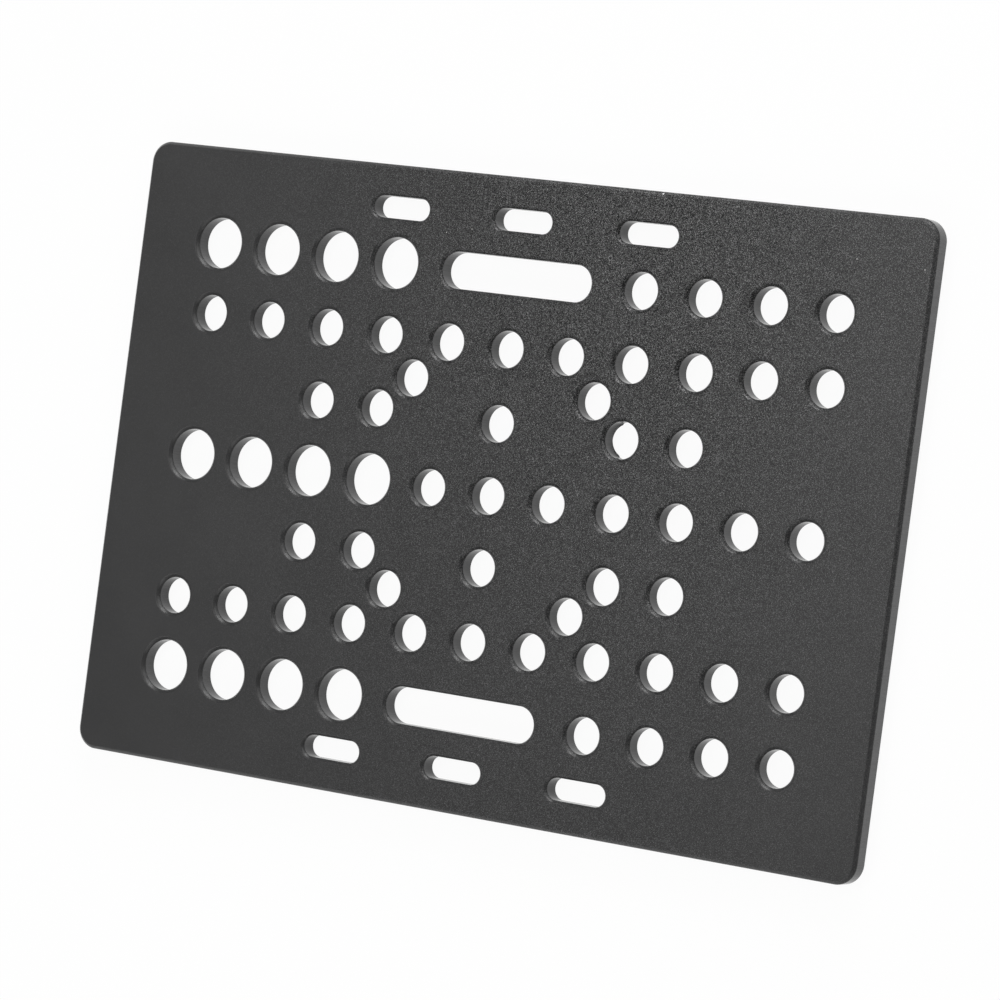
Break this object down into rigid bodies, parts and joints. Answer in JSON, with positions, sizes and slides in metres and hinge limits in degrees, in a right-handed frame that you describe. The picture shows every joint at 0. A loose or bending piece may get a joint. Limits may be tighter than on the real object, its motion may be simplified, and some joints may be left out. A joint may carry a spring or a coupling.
{
  "type": "gantry plate",
  "caption": "Flat black-anodised aluminium gantry plate with rows of bolt holes, larger eccentric-spacer holes and slots, for carrying rail wheels and tools.",
  "frame": {"origin": "middle of the back face, on the axis of the middle bolt hole", "axes": "+X along the length towards the plain wheel holes, +Y across the width, +Z out of the front face"},
  "size_m": [0.127, 0.088, 0.003],
  "materials": {
    "anodised_plate": "fine bead-blasted, black anodised, matt"
  },
  "bodies": {
    "root": {"gantry_plate": "anodised_plate"}
  },
  "joints": []
}
